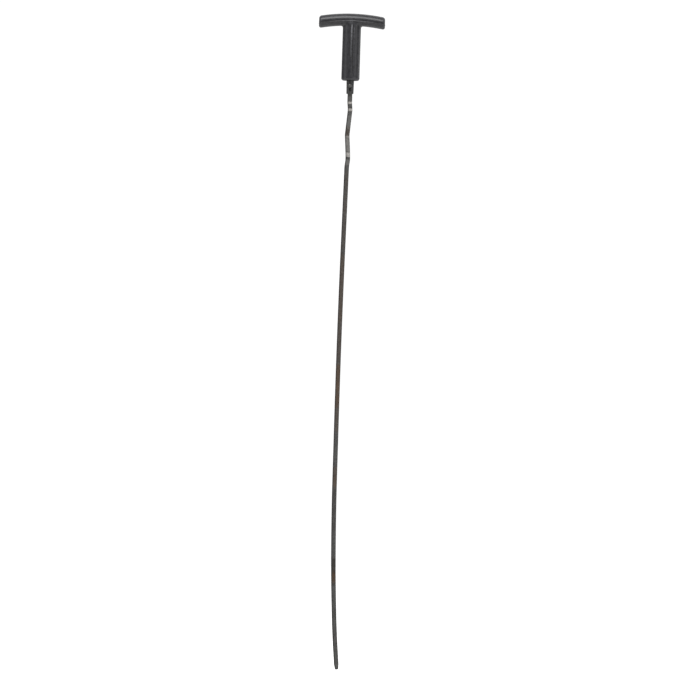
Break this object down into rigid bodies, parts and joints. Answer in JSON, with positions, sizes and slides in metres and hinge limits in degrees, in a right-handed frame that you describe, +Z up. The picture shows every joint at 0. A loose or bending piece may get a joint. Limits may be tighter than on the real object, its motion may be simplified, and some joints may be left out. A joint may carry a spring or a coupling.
{
  "type": "engine oil dipstick",
  "caption": "Engine oil dipstick: moulded T-handle with a hollow stem that pushes over a guide tube, and a long kinked flat spring-steel blade for reading the oil level.",
  "frame": {"origin": "on the stem's axis, in the plane of its mouth, where the end of the engine's guide tube goes in", "axes": "+Z up the handle along the stem's axis, +X along the crossbar to the right as seen from the rivet head's side; the blade hangs down towards -Z and its tip bows towards -Y"},
  "size_m": [0.066, 0.0184, 0.6559],
  "materials": {
    "handle_plastic": "moulded, worn satin",
    "carrier_nylon": "moulded, matt",
    "seal_rubber": "smooth oil-resistant rubber",
    "rivet_steel": "dulled plating",
    "blade_spring_steel": "dark oiled spring steel with brown staining"
  },
  "bodies": {
    "root": {"t_handle": "handle_plastic", "blade_carrier": "carrier_nylon", "lower_o_ring": "seal_rubber", "upper_o_ring": "seal_rubber", "tube_seal": "seal_rubber", "blade_rivet": "rivet_steel", "blade": "blade_spring_steel"}
  },
  "joints": []
}
